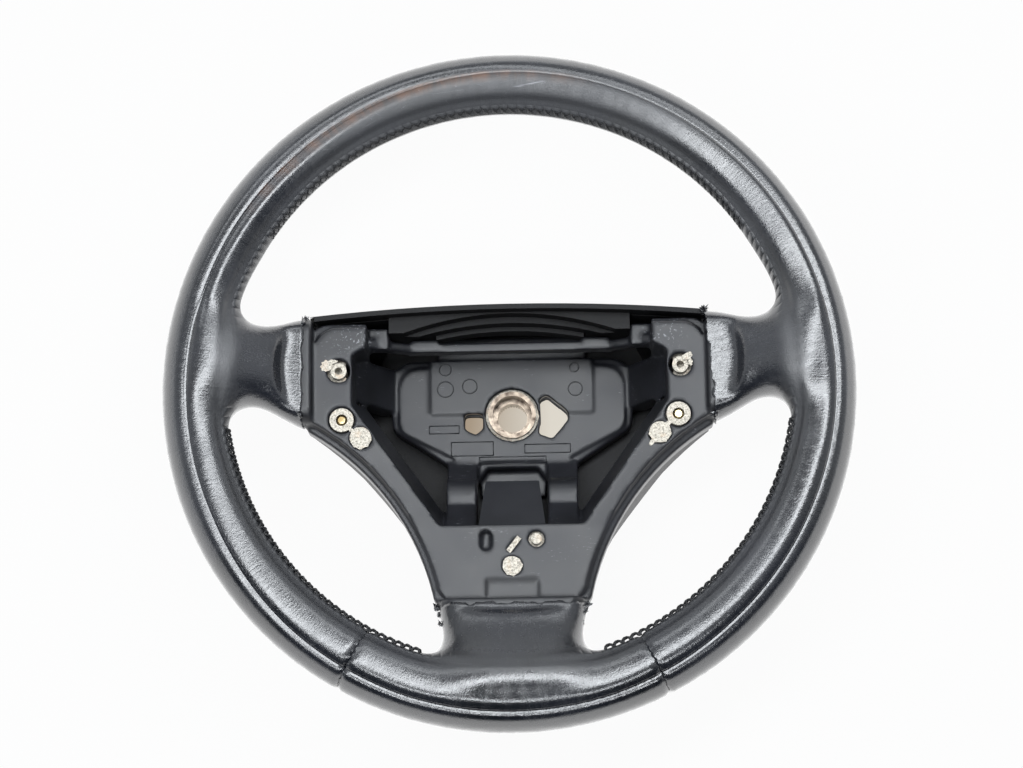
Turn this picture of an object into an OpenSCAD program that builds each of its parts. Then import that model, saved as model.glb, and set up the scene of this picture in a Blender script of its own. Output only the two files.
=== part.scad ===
// Leather-covered car steering wheel, shown with its airbag module taken off.
// Frame: +Z points to the driver, +Y to the top of the wheel, +X to the driver's right.
// The origin lies on the steering axis, in the plane of the rear collar that the wheel rests on.

/* [Rim] */
// Outside diameter of the wheel over the leather
wheel_d = 385; // [370:1:400]
// Diameter of the rim's section over the leather
rim_d = 36; // [33:0.5:38]
// Height of the rim's middle plane above the rear collar
rim_z = 92; // [89:0.5:95]
// Thickness of the leather
leather_t = 1.4; // [1:0.1:1.8]
// Angle from the lower spoke's corner to the left leather joint
seam_left_run = 11.25; // [7.5:3.75:15]
// Angle from the lower spoke's corner to the right leather joint
seam_right_run = 7.5; // [3.75:3.75:11.25]
// Diameter of the sewing thread round the inside of the rim
thread_d = 1.2; // [0.8:0.1:1.5]
// Gap round the thread in its groove
thread_gap = 0.15; // [0.1:0.05:0.3]

/* [Side spokes] */
// Distance from the axis to the leather's edge on each side spoke
side_edge_x = 113.5; // [111:0.5:116]
// Height of a side spoke's middle line above the axis
side_mid_y = 17; // [14:0.5:20]
// Width of a side spoke at its hub end
side_root_w = 65; // [60:0.5:68]
// Width of a side spoke at its narrowest
side_neck_w = 46; // [42:0.5:50]

/* [Lower spoke] */
// Distance from the axis to the leather's edge on the lower spoke
low_edge_y = 119; // [116:0.5:122]
// Width of the lower spoke at its hub end
low_root_w = 85; // [80:0.5:90]
// Width of the lower spoke at its narrowest
low_neck_w = 78; // [72:0.5:82]

/* [Spoke form] */
// Radius where a spoke's edge runs into the rim
fillet_r = 14; // [11:0.5:16]
// Depth of the rebate for the airbag cover, below the rim's middle plane
rebate_z = 8; // [6:0.5:9]
// Radius of the rebate's curved step on the side spokes
rebate_r = 54; // [51:0.5:57]
// Distance from the axis to the rebate's step on the lower spoke
rebate_low_y = 124.5; // [123:0.5:127]

/* [Hub shell] */
// Height of the shell's top edge above the axis
shell_top_y = 53; // [50:0.5:56]
// Radius of the curved edge below each side spoke
strut_r = 145.8; // [142:0.2:148]
// Height of the front panel above the rear collar
panel_z = 78; // [76:0.5:80]
// Height of the panel's lower edge flange
flange_z = 72; // [71:0.5:73]
// Width of that flange
flange_w = 4.5; // [3.5:0.5:6]
// Height of the joint between the shell and the rear cover
parting_z = 60; // [58:0.5:61]

/* [Hub plate] */
// Height of the hub plate's front face above the rear collar
hub_face_z = 22; // [21:0.5:24]
// Thickness of the cast hub plate
plate_t = 7; // [6:0.5:8]
// Thickness of the foam skin over the casting
skin_t = 2.5; // [2:0.1:3]
// Half width of the hub plate
plate_x = 69; // [66:0.5:70]

/* [Hub insert] */
// Outside diameter of the steel insert
insert_d = 27.2; // [25:0.2:29]
// Diameter of the splined bore
bore_d = 17; // [15:0.2:18]
// Diameter of the recess for the retaining bolt's head
bolt_recess_d = 22.4; // [20:0.2:24]
// Depth of that recess
bolt_recess_t = 9.5; // [8:0.5:11]
// Length of the plain bore above the splines
plain_bore_l = 5; // [4:0.5:6]
// Number of splines
spline_n = 36; // [24:1:40]

/* [Fixings] */
// Distance of the airbag bolts from the middle
bolt_x = 93.9; // [93:0.1:95]
// Distance of the airbag bolts below the axis
bolt_y = 13.5; // [12:0.5:15]
// Diameter of the bosses round the airbag bolts
bolt_boss_d = 13.4; // [12.6:0.2:14]
// Thread diameter of the airbag bolts
bolt_d = 6; // [5:0.5:6]
// Distance of the cored pins from the middle
pin_x = 95.6; // [94:0.1:97]
// Height of the cored pins above the axis
pin_y = 14.8; // [13:0.1:17]
// Diameter of the cored pins
pin_d = 9; // [8:0.2:10]
// Diameter of the hole in each cored pin
pin_hole_d = 4.2; // [3.4:0.1:4.8]
// Diameter of the bare support pads beside the bosses
side_pad_d = 12; // [11:0.5:13]
// Diameter of the bare support pad on the lower panel
low_pad_d = 10.6; // [9:0.2:12]

/* [Rear cover] */
// Wall of the rear cover
cover_t = 3; // [2.5:0.1:3.5]
// Radius of the opening for the steering column
column_r = 42; // [40:0.5:43]
// Thread diameter of the cover's screws
screw_d = 4.4; // [4:0.1:5]

/* [Hidden] */

$fn = 96;
cut = 1;
ring_n = 20;
rim_r = rim_d / 2;
rim_mid_r = wheel_d / 2 - rim_r;
rim_inner_r = wheel_d / 2 - rim_d;
rebate_face_z = rim_z - rebate_z;
all_r = wheel_d / 2 + 10;
strut_c = [186.5, -144.4];
shell_x = side_edge_x;
rebate_side_x = 74.6;
rebate_low_r = 194;

// The casting: its plate, arms and core sit inside the foam by skin_t.
core_w = 14;
core_h = 11;
core_wall = 3.5;
plate_top_z = hub_face_z - skin_t - 0.5;
plate_bottom_z = plate_top_z - plate_t;
plate_foam_z = plate_bottom_z - skin_t + 0.5;
ear_z = panel_z - 14;
arm_t = 8;

plate_top_y = 32.8;

bolt_hole_d = bolt_d + 0.6;
bolt_head_d = 10;
bolt_head_h = 5.5;
retainer_t = 1.5;
boss_bottom_z = ear_z - 4;
bolt_tip_drop = 0.6;
screw_xy = [[57, 12], [-57, 12], [50, -13], [-50, -13]];
screw_head_d = 8.4;
screw_head_h = 2.6;
cover_floor_z = 4;
collar_t = 5;

// Points of an arc about c, from angle a0 to a1, in n steps.
function arc(c, r, a0, a1, n = 8) =
    [for (i = [0:n]) c + r * [cos(a0 + (a1 - a0) * i / n), sin(a0 + (a1 - a0) * i / n)]];

function mix(a, b, t) = a + (b - a) * t;
function tidy(v) = round(v * 50) / 50;
function ease(t) = let (u = min(1, max(0, t))) u * u * (3 - 2 * u);
ring_step = 360 / $fn;
function on_step(a) = ring_step * round(a / ring_step);
function reversed(list) = [for (i = [len(list) - 1:-1:0]) list[i]];

// The spokes' corners at the rim, as steps of the ring, and the joints between the two leather pieces.
side_top_deg = on_step(asin((side_mid_y + side_neck_w / 2 + fillet_r) / rim_inner_r));
side_low_deg = on_step(asin((side_mid_y - side_neck_w / 2 - fillet_r) / rim_inner_r));
low_half_deg = on_step(asin((low_neck_w / 2 + fillet_r) / rim_inner_r));
seam_left_deg = 270 - low_half_deg - seam_left_run;
seam_right_deg = 270 + low_half_deg + seam_right_run;

// A right half outline and its mirror image, as one closed list.
function both_halves(half) = concat(half, [for (p = reversed(half)) if (p[0] > 0.01) [-p[0], p[1]]]);

// A ring of a loft across X: a superellipse between two edges and two faces.
function loft_ring(x, y0, y1, z0, z1, n = 2.6) =
    [for (i = [0:ring_n - 1])
        let (a = 360 * i / ring_n, c = cos(a), s = sin(a))
        [x,
         (y0 + y1) / 2 + (y1 - y0) / 2 * sign(c) * pow(abs(c), 2 / n),
         (z0 + z1) / 2 + (z1 - z0) / 2 * sign(s) * pow(abs(s), 2 / n)]];

// A closed solid through rings that have equal numbers of points.
module loft(rings) {
    m = len(rings[0]);
    k = len(rings);
    polyhedron(
        points = [for (r = rings) each r],
        faces = concat(
            [[for (i = [0:m - 1]) i]],
            [[for (i = [m - 1:-1:0]) (k - 1) * m + i]],
            [for (j = [0:k - 2], i = [0:m - 1]) each
                let (a = j * m + i, b = j * m + (i + 1) % m)
                [[a, a + m, b], [b, a + m, b + m]]]),
        convexity = 6);
}

// A spoke along +X, from its hub end out into the rim, into which it flares by fillet_r.
// Its stations don't move with root_x, so that forms with other insets stay parallel.
spoke_end_r = rim_mid_r - 4;
spoke_stations = [0, 0.1, 0.25, 0.39, 0.5, 0.59, 0.66, 0.71, 0.79, 1];
front_drop = 4;
module spoke_form(root_x, edge_x, root_w, neck_w, rear_root, lean, inset) {
    flare_x = rim_inner_r - fillet_r - neck_w * neck_w / 1400;
    stations = concat(root_x < edge_x ? [root_x] : [],
                      [for (t = spoke_stations) mix(edge_x, spoke_end_r, t)]);
    loft([for (x = stations)
        let (
            run = min(fillet_r, max(0, x - flare_x)),
            flare = fillet_r - sqrt(fillet_r * fillet_r - run * run),
            half = mix(root_w, neck_w, ease((x - edge_x) / (flare_x - edge_x))) / 2 + flare - inset,
            out = ease((x - edge_x) / (spoke_end_r - edge_x)),
            mid = lean * (out - 0.7),
            front = mix(-front_drop, rim_r * 0.6, out) - inset,
            rear = mix(-rear_root, -rim_r * 0.5, out) + inset)
        loft_ring(x, mid - half, mid + half, rim_z + rear, rim_z + front)]);
}

side_rear_root = 40;
low_rear_root = 38;
side_lean = 5;
root_in = 3;
module side_spoke(inset, root_x) {
    translate([0, side_mid_y + 1.5, 0])
        spoke_form(root_x, side_edge_x, side_root_w, side_neck_w, side_rear_root, side_lean, inset);
}
module side_spokes(inset, root_x) {
    side_spoke(inset, root_x);
    mirror([1, 0, 0]) side_spoke(inset, root_x);
}
module low_spoke(inset, root_y) {
    rotate([0, 0, -90])
        spoke_form(root_y, low_edge_y, low_root_w, low_neck_w, low_rear_root, 0, inset);
}
module rim_tube(inset, a0 = 0, a1 = 360) {
    translate([0, 0, rim_z])
        rotate([0, 0, a0])
            rotate_extrude(angle = a1 - a0) translate([rim_mid_r, 0]) circle(r = rim_r - inset);
}

// The space of the airbag cover, whose edge meets a step in the leather.
module side_rebates(inset) {
    for (s = [-1, 1])
        translate([s * rebate_side_x, side_mid_y - 1, rebate_face_z - inset])
            cylinder(r = rebate_r + inset, h = 40);
}
module low_rebate(inset) {
    translate([0, 0, rebate_face_z - inset])
        linear_extrude(40)
            intersection() {
                translate([0, rebate_low_r - rebate_low_y]) circle(r = rebate_low_r + inset, $fn = 200);
                translate([-60, -rebate_low_y - inset - 2]) square([120, 60]);
            }
}

module thread_groove() {
    translate([0, 0, rim_z])
        rotate_extrude() translate([rim_inner_r + 0.1, 0]) circle(d = thread_d + 2 * thread_gap);
}

// Both leather pieces are the outer form less the same form drawn in by the leather's thickness.
module leather_upper() {
    color("#2b2c30") difference() {
        union() {
            rim_tube(0, seam_right_deg, seam_left_deg + 360);
            side_spokes(0, side_edge_x);
        }
        side_rebates(0);
        difference() {
            union() {
                rim_tube(leather_t, seam_right_deg - ring_step, seam_left_deg + 360 + ring_step);
                side_spokes(leather_t, side_edge_x - cut);
            }
            side_rebates(leather_t);
        }
        thread_groove();
    }
}
module leather_lower() {
    color("#2d2e32") difference() {
        union() {
            rim_tube(0, seam_left_deg, seam_right_deg);
            low_spoke(0, low_edge_y);
        }
        low_rebate(0);
        difference() {
            union() {
                rim_tube(leather_t, seam_left_deg - ring_step, seam_right_deg + ring_step);
                low_spoke(leather_t, low_edge_y - cut);
            }
            low_rebate(leather_t);
        }
        thread_groove();
    }
}

// A run of the seam's thread between two angles.
module thread_run(a0, a1) {
    translate([0, 0, rim_z])
        rotate([0, 0, a0])
            rotate_extrude(angle = a1 - a0)
                translate([rim_inner_r + 0.1, 0]) circle(d = thread_d);
}
// Each run ends on a step of the ring, clear of the spokes and at the leather's joints.
module seam_thread_top() {
    color("#17181a") thread_run(side_top_deg, 180 - side_top_deg);
}
module seam_thread_left() {
    color("#17181a") thread_run(180 - side_low_deg, seam_left_deg);
}
module seam_thread_right() {
    color("#17181a") thread_run(seam_right_deg, 360 + side_low_deg);
}
module seam_thread_lower_left() {
    color("#17181a") thread_run(seam_left_deg, 270 - low_half_deg);
}
module seam_thread_lower_right() {
    color("#17181a") thread_run(270 + low_half_deg, seam_right_deg);
}

// The hub's outline, drawn in by inset: top edge, side, curved strut edge and lower edge.
function strut_x(y, r) = strut_c[0] - sqrt(r * r - pow(strut_c[1] - y, 2));
function strut_y(x, r) = strut_c[1] + sqrt(r * r - pow(strut_c[0] - x, 2));
function hub_outline(inset, side_x, top_y, low_y, top_r = 12, low_r = 7) =
    let (r = strut_r + inset,
         y_side = strut_y(side_x, r),
         x_low = strut_x(low_y + low_r, r),
         a_side = atan2(y_side - strut_c[1], side_x - strut_c[0]),
         a_low = atan2(low_y + low_r - strut_c[1], x_low - strut_c[0]))
    both_halves(concat(
        [[0, top_y]],
        arc([side_x - top_r, top_y - top_r], top_r, 90, 0, 6),
        arc(strut_c, r, a_side, a_low, 14),
        arc([x_low - low_r, low_y + low_r], low_r, -22.5, -90, 3),
        [[0, low_y]]));

ear_top_y = 43;
low_panel_y = -low_edge_y;
module shell_slab(z0, z1) {
    translate([0, 0, z0])
        linear_extrude(z1 - z0)
            polygon(hub_outline(0, shell_x, ear_top_y, low_panel_y));
}
module raised_slab(z0, z1) {
    translate([0, 0, z0])
        linear_extrude(z1 - z0)
            polygon(hub_outline(flange_w, shell_x - 3.5, ear_top_y - 3, low_panel_y + 2, 14, 12));
}

// The opening that the airbag module drops into.
pocket_x = 88;
pocket_low_y = -73.5;
neck_x = strut_x(pocket_low_y, strut_r);
pocket_low_x = tidy(0.676 * neck_x);
pocket_half = [[0, 80], [80, 80], [80, 28], [pocket_x, 24], [pocket_x, -5], [pocket_low_x, pocket_low_y],
               [0, pocket_low_y]];
module pocket(grow, z0, z1) {
    translate([0, 0, z0])
        linear_extrude(z1 - z0)
            polygon(both_halves([for (p = pocket_half)
                [p[0] + (p[0] > 0 ? grow : 0), p[1] + (p[1] < 0 ? -grow : 0)]]));
}

// A flat bar whose middle line runs from a to b in the XZ plane, w wide along Y.
module bar_xz(a, b, t, w, y) {
    n = [a[1] - b[1], b[0] - a[0]] / norm(b - a) * t / 2;
    translate([0, y + w / 2, 0])
        rotate([90, 0, 0])
            linear_extrude(w) polygon([a + n, b + n, b - n, a - n]);
}

// Arms of the casting, or of the foam over it when skin is above 0.
leg_y0 = 15.5;
leg_w = 20;
low_leg_x = tidy(0.482 * neck_x);
low_leg_w = tidy(0.203 * neck_x);
low_leg_t = 7;
bar_y = 33.7;
bar_z = 45;
bar_half_x = 58;
module side_legs(skin) {
    plate_mid_z = plate_top_z - plate_t / 2;
    bar_xz([plate_x - 11, plate_mid_z], [plate_x + 3, plate_mid_z], 6 + 2 * skin, leg_w + 2 * skin, leg_y0);
    bar_xz([plate_x + 1, plate_top_z - 6], [101, ear_z + 2], arm_t + 2 * skin, leg_w + 2 * skin, leg_y0);
    bar_xz([bar_half_x - 3, bar_z], [92, ear_z + 2], 3 + 2 * skin, 2 + 1.3 * skin, bar_y);
}
module low_legs(skin) {
    rotate([0, 0, -90])
        for (s = [-1, 1]) {
            bar_xz([30, plate_top_z - low_leg_t / 2], [56, 38], low_leg_t + 2 * skin,
                   low_leg_w + 2 * skin, s * low_leg_x);
            bar_xz([52, 34], [80, 66], low_leg_t + 2 * skin, low_leg_w + 2 * skin, s * low_leg_x);
        }
}
module crossbar(skin) {
    translate([-bar_half_x, bar_y - 1 - 0.66 * skin, bar_z - 2 - skin])
        cube([2 * bar_half_x, 2 + 1.32 * skin, 4 + 2 * skin]);
}
module legs(skin) {
    for (s = [0, 1])
        mirror([s, 0, 0]) side_legs(skin);
    low_legs(skin);
    crossbar(skin);
}

leg_x = 34;
leg_y = -38;
notch_x = 14.5;
notch_y = -31;
module hub_plate(shrink, z0, z1) {
    x = plate_x - shrink;
    y = plate_top_y - shrink;
    translate([0, 0, z0])
        linear_extrude(z1 - z0)
            polygon(both_halves(concat(
                [[0, y]],
                arc([x - 12, y - 12], 12, 90, 0, 4),
                arc([x - 9, -3], 9, 0, -52, 4),
                [[38 - shrink, -28 + 0.8 * shrink], [leg_x - shrink, -33],
                 [leg_x - shrink, leg_y + shrink / 2], [19.5 + shrink / 2, leg_y + shrink / 2],
                 [notch_x + shrink, notch_y + shrink], [0, notch_y + shrink]])));
}

// Cable windows beside the insert.
module cable_windows(grow, z0, z1) {
    translate([0, 0, z0])
        linear_extrude(z1 - z0) {
            polygon([[16 - grow, 9 + grow], [20, 11 + grow], [31 + grow, 2], [32 + grow, -3],
                     [23, -14 - grow], [15 - grow, -11 - grow], [16.5 - grow, -2]]);
            polygon([[-27 - grow, 1 + grow], [-17 + grow, 1 + grow], [-17 + grow, -8], [-21, -11 - grow],
                     [-27 - grow, -8]]);
        }
}

// The casting's features that come up through the foam. With grow above 0 they are the foam's holes.
side_pad = [83.4, -23.8];
low_pad = [0, -97];
low_stud = [13.6, -82];
slit_c = [1, -85];
low_slab_z = panel_z - 4;
module casting_pads(grow) {
    for (s = [-1, 1]) {
        translate([s * bolt_x, -bolt_y, ear_z - 2])
            cylinder(d = bolt_boss_d + grow, h = panel_z - ear_z + 2 + grow);
        translate([s * pin_x, pin_y, ear_z - 2])
            cylinder(d = pin_d + 4 * grow, h = panel_z - ear_z + 1 + 2 * grow);
        translate([s * side_pad[0], side_pad[1], ear_z - 2])
            cylinder(d = side_pad_d, h = panel_z - ear_z + 2 + grow);
    }
    translate([low_pad[0], low_pad[1], ear_z - 2]) cylinder(d = low_pad_d, h = low_slab_z - ear_z + 2 + grow);
    translate([low_stud[0], low_stud[1], ear_z - 2])
        cylinder(d = 6 + 3 * grow, h = low_slab_z - ear_z + 2 + grow);
    translate([slit_c[0], slit_c[1], ear_z - 2])
        rotate([0, 0, 52]) translate([-5, -1.4, 0]) cube([10, 2.8, low_slab_z - ear_z + 2 + grow]);
}

core_panel_x = tidy(0.578 * neck_x);
core_panel_h = 40;
module ear_plates() {
    for (s = [0, 1])
        mirror([s, 0, 0])
            translate([0, 0, ear_z])
                linear_extrude(arm_t)
                    polygon([[92, 36], [109, 30], [109, -8], [97, -25], [84, -31], [77, -25], [91.5, -6]]);
}

// The die-cast skeleton: rim core open to the rear, three arms, hub plate, bosses and pads.
module armature_solid() {
    difference() {
        translate([0, 0, rim_z])
            rotate_extrude() translate([rim_mid_r - core_w / 2, -core_h / 2]) square([core_w, core_h]);
        translate([0, 0, rim_z])
            rotate_extrude()
                translate([rim_mid_r - core_w / 2 + core_wall, -core_h / 2 - cut])
                    square([core_w - 2 * core_wall, core_h - core_wall + cut]);
    }
    for (s = [0, 1])
        mirror([s, 0, 0])
            bar_xz([108, ear_z + arm_t / 2], [rim_mid_r, rim_z], arm_t, 24, side_mid_y);
    rotate([0, 0, -90])
        bar_xz([low_edge_y - 5, ear_z + 1], [rim_mid_r, rim_z + 1], arm_t - 1, 34, 0);
    ear_plates();
    translate([-core_panel_x, low_panel_y + 3, ear_z - 2]) cube([2 * core_panel_x, core_panel_h, arm_t]);
    legs(0);
    hub_plate(2, plate_bottom_z, plate_top_z);
    casting_pads(0);
    for (s = [-1, 1])
        translate([s * bolt_x, -bolt_y, boss_bottom_z]) cylinder(d = bolt_boss_d, h = 8);
}
module armature_holes() {
    cylinder(d = insert_d, h = hub_face_z + cut);
    cable_windows(2, 0, hub_face_z + 5);
    for (s = [-1, 1]) {
        translate([s * bolt_x, -bolt_y, boss_bottom_z - cut]) cylinder(d = bolt_hole_d, h = 30);
        translate([s * pin_x, pin_y, panel_z - 8]) cylinder(d = pin_hole_d, h = 12);
    }
    for (p = screw_xy)
        translate([p[0], p[1], 0]) cylinder(d = screw_d + 0.1, h = plate_bottom_z + 5);
}
module armature() {
    color("#b9b4a8") difference() {
        armature_solid();
        armature_holes();
    }
}

// The steel boss: a plain bore and splines for the column, and a seat for the retaining bolt.
insert_bottom_z = 3;
insert_flange_t = 2;
module hub_insert() {
    seat_z = hub_face_z + 0.5 - bolt_recess_t;
    spline_top = seat_z - plain_bore_l;
    color("#c9c3b6") difference() {
        translate([0, 0, insert_bottom_z]) cylinder(d = insert_d, h = hub_face_z + 0.5 - insert_bottom_z);
        translate([0, 0, 0]) cylinder(d = bore_d, h = 40);
        translate([0, 0, seat_z]) cylinder(d = bolt_recess_d, h = 20);
        for (i = [0:spline_n - 1])
            rotate([0, 0, 360 * i / spline_n])
                translate([0, 0, insert_bottom_z - cut])
                    linear_extrude(spline_top - insert_bottom_z + cut)
                        polygon([[bore_d / 2 - 0.3, -0.45], [bore_d / 2 + 0.7, -0.12],
                                 [bore_d / 2 + 0.7, 0.12], [bore_d / 2 - 0.3, 0.45]]);
    }
}

// Foam skin of the hub plate with its raised plaque and the ridge round its lower edges.
plaque_x = 46.5;
plaque_low_y = 1;
barrel_y = -53;
barrel_z = 36;
barrel_r = 13;
module hub_foam() {
    hub_plate(0, plate_foam_z, hub_face_z - 1.5);
    hub_plate(4.5, plate_foam_z, hub_face_z);
    translate([-plaque_x, plaque_low_y, hub_face_z - 2]) cube([2 * plaque_x, plate_top_y - plaque_low_y, 3]);
    legs(skin_t);
    for (s = [-1, 1])
        translate([s * low_leg_x - low_leg_w / 2 - skin_t, barrel_y, barrel_z])
            rotate([0, 90, 0]) cylinder(r = barrel_r, h = low_leg_w + 2 * skin_t);
    translate([-19, -46, plate_foam_z]) cube([38, 16, 3]);
    translate([-43, 30, plate_foam_z]) cube([86, 17.5, 3]);
    for (s = [0, 1])
        mirror([s, 0, 0]) {
            translate([41, bar_y - 2.6, bar_z - 4]) cube([15, 7.2, 9]);
            translate([68, 31, 50]) cube([17, 12, 10]);
        }
}

// The struts slope down from the ears to the lower panel, and each has a lean-to along its inner wall.
slope_top_y = -28;
slope_low_y = pocket_low_y - 3;
strut_slope_deg = atan((panel_z - low_slab_z) / (slope_top_y - slope_low_y));
lean_to_w = 8;
lean_to_top_z = 72;
lean_to_fall = 3.5;
module lean_tos() {
    a = pocket_half[4];
    b = pocket_half[5];
    for (s = [0, 1])
        mirror([s, 0, 0])
            translate([b[0], b[1], 0])
                rotate([0, 0, atan2(a[1] - b[1], a[0] - b[0])])
                    translate([-6, 0, 0])
                        rotate([90, 0, 90])
                            linear_extrude(norm(a - b) + 9)
                                polygon([[-2, lean_to_top_z + 2 * lean_to_fall], [-2, 36], [lean_to_w, 36],
                                         [lean_to_w, lean_to_top_z - lean_to_w * lean_to_fall]]);
}

// Ears, struts and lower panel in one moulding, with the wall that lines the pocket.
module panel_foam() {
    difference() {
        union() {
            shell_slab(parting_z, flange_z);
            raised_slab(parting_z, low_slab_z);
            difference() {
                raised_slab(parting_z, panel_z);
                translate([0, slope_top_y, panel_z])
                    rotate([strut_slope_deg, 0, 0]) translate([-150, -200, 0]) cube([300, 200, 20]);
            }
            intersection() {
                pocket(3, 42, parting_z + cut);
                translate([0, 0, 30])
                    linear_extrude(60)
                        polygon(hub_outline(9, shell_x - 10, ear_top_y, low_panel_y + 20));
            }
        }
        difference() {
            pocket(0, 30, panel_z + 10);
            lean_tos();
        }
        translate([-14.4, -85, low_slab_z - 3]) {
            cylinder(d = 6.4, h = 10);
            translate([0, 5, 0]) cylinder(d = 6.4, h = 10);
            translate([-3.2, 0, 0]) cube([6.4, 5, 10]);
        }
        translate([-15, -120, low_slab_z - 1.2]) cube([30, 16, 10]);
    }
}

module foam_body() {
    color("#33343a") difference() {
        union() {
            difference() {
                union() {
                    rim_tube(leather_t);
                    side_spokes(leather_t, side_edge_x - root_in);
                    low_spoke(leather_t, low_edge_y - root_in);
                }
                side_rebates(leather_t);
                low_rebate(leather_t);
            }
            panel_foam();
            hub_foam();
        }
        armature_solid();
        casting_pads(1);
        translate([0, 0, -cut]) cylinder(d = insert_d + 3, h = 40);
        cable_windows(0, 0, hub_face_z + 5);
        for (s = [-1, 1])
            translate([s * bolt_x, -bolt_y, 0]) cylinder(r = 7.6, h = boss_bottom_z + 0.2);
        for (p = screw_xy)
            translate([p[0], p[1], 0]) cylinder(d = screw_d + 1, h = plate_bottom_z + cut);
    }
}

// One captive bolt, head to the rear, with a six-lobed socket.
module airbag_bolt(s) {
    head_top = boss_bottom_z - retainer_t;
    color("#8d8a84") translate([s * bolt_x, -bolt_y, 0])
        difference() {
            union() {
                translate([0, 0, head_top - bolt_head_h]) cylinder(d = bolt_head_d, h = bolt_head_h);
                translate([0, 0, head_top - cut])
                    cylinder(d = bolt_d, h = panel_z - bolt_tip_drop - 1 - head_top + cut);
                translate([0, 0, panel_z - bolt_tip_drop - 1])
                    cylinder(d1 = bolt_d, d2 = bolt_d - 2, h = 1);
            }
            translate([0, 0, head_top - bolt_head_h - cut])
                for (a = [0, 60, 120])
                    rotate([0, 0, a]) translate([-2.7, -0.7, 0]) cube([5.4, 1.4, 3.5 + cut]);
        }
}
module airbag_bolt_left() { airbag_bolt(-1); }
module airbag_bolt_right() { airbag_bolt(1); }

module bolt_retainer(s) {
    color("#55575c") translate([s * bolt_x, -bolt_y, boss_bottom_z - retainer_t])
        difference() {
            cylinder(d = 11.6, h = retainer_t);
            translate([0, 0, -cut]) cylinder(d = bolt_d + 0.2, h = retainer_t + 2 * cut);
        }
}
module bolt_retainer_left() { bolt_retainer(-1); }
module bolt_retainer_right() { bolt_retainer(1); }

// The tapered cover over the middle of the lower arm.
cover_plate_t = 2.4;
cover_top_x = tidy(0.254 * neck_x);
cover_low_x = tidy(0.318 * neck_x);
cover_top_y = leg_y - 5;
module harness_cover() {
    color("#26272b") intersection() {
        translate([0, 0, 20])
            linear_extrude(60) polygon([[-cover_top_x, cover_top_y], [cover_top_x, cover_top_y],
                                        [cover_low_x, pocket_low_y], [-cover_low_x, pocket_low_y]]);
        rotate([0, 0, -90])
            bar_xz([30, 32.6], [80, 68.7], cover_plate_t, 60, 0);
    }
}

// The rear cover: a bowl that closes the hub from behind, with a collar for the column.
cover_low_y = low_panel_y + 9;
arch_r = 1143;
bowl_floor_r = plate_x + 17;
module bowl(inset, lift) {
    intersection() {
        translate([0, 0, cover_floor_z + lift - cut])
            linear_extrude(parting_z - cover_floor_z - lift + cut + (lift > 0 ? cut : 0))
                intersection() {
                    polygon(hub_outline(inset + 3, shell_x - 2 - inset, shell_top_y + 8, cover_low_y + inset));
                    translate([0, shell_top_y - arch_r]) circle(r = arch_r - inset, $fn = 256);
                }
        rotate_extrude()
            polygon([[0, cover_floor_z + lift], [bowl_floor_r - inset, cover_floor_z + lift],
                     [92 - inset, 20 + lift], [112 - inset, 40 + lift], [132 - inset, parting_z + 2 * cut],
                     [0, parting_z + 2 * cut]]);
    }
}
lip_z = rim_z - 20;
lip_t = 2.8;
module top_wall() {
    translate([0, 0, parting_z - 4])
        linear_extrude(lip_z - parting_z + 4)
            intersection() {
                difference() {
                    translate([0, shell_top_y - arch_r]) circle(r = arch_r, $fn = 256);
                    translate([0, shell_top_y - arch_r]) circle(r = arch_r - lip_t, $fn = 256);
                }
                translate([-shell_x + 1.5, 30]) square([2 * shell_x - 3, 40]);
            }
}
// A curved ledge inside the cover's top wall.
module ledge(mid_y, r, z, half_w) {
    translate([0, 0, 36])
        linear_extrude(z - 36)
            difference() {
                translate([-half_w, 39.2]) square([2 * half_w, shell_top_y - 41.2]);
                translate([0, mid_y - r]) circle(r = r);
            }
}
module rear_cover() {
    color("#1f2024") difference() {
        union() {
            difference() {
                bowl(0, 0);
                bowl(cover_t, cover_t);
            }
            top_wall();
            intersection() {
                union() {
                    ledge(49.5, 178, 64, 68);
                    ledge(46, 198, 55, 66);
                    ledge(43.5, 200, 46, 42);
                }
                translate([0, shell_top_y - arch_r, 30]) cylinder(r = arch_r - 1.5, h = 40, $fn = 256);
            }
            cylinder(r = column_r + collar_t, h = cover_floor_z + cover_t);
            for (p = screw_xy)
                translate([p[0], p[1], cover_floor_z]) cylinder(d = 11, h = plate_foam_z - cover_floor_z);
        }
        translate([0, 0, -cut]) cylinder(r = column_r, h = 40);
        side_spokes(-0.2, side_edge_x - root_in - 1);
        low_spoke(-0.2, low_edge_y - root_in - 1);
        for (s = [-1, 1])
            translate([s * bolt_x, -bolt_y, -cut]) cylinder(d = 12, h = 70);
        for (p = screw_xy) {
            translate([p[0], p[1], -cut]) cylinder(d = screw_d + 0.4, h = 30);
            translate([p[0], p[1], -cut]) cylinder(d = screw_head_d + 0.6, h = cover_floor_z - 0.6 + cut);
        }
    }
}
module rear_cover_screws() {
    head_top = cover_floor_z - 0.6;
    color("#6f7075")
        for (p = screw_xy)
            translate([p[0], p[1], 0])
                difference() {
                    union() {
                        translate([0, 0, head_top - screw_head_h]) cylinder(d = screw_head_d, h = screw_head_h);
                        translate([0, 0, head_top - cut])
                            cylinder(d = screw_d, h = plate_bottom_z + 4 - head_top + cut);
                    }
                    translate([0, 0, head_top - screw_head_h - cut])
                        for (a = [0, 60, 120])
                            rotate([0, 0, a]) translate([-2, -0.5, 0]) cube([4, 1, 1.4 + cut]);
                }
}

armature();
hub_insert();
foam_body();
leather_upper();
leather_lower();
seam_thread_top();
seam_thread_left();
seam_thread_right();
seam_thread_lower_left();
seam_thread_lower_right();
airbag_bolt_left();
airbag_bolt_right();
bolt_retainer_left();
bolt_retainer_right();
harness_cover();
rear_cover();
rear_cover_screws();
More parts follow.
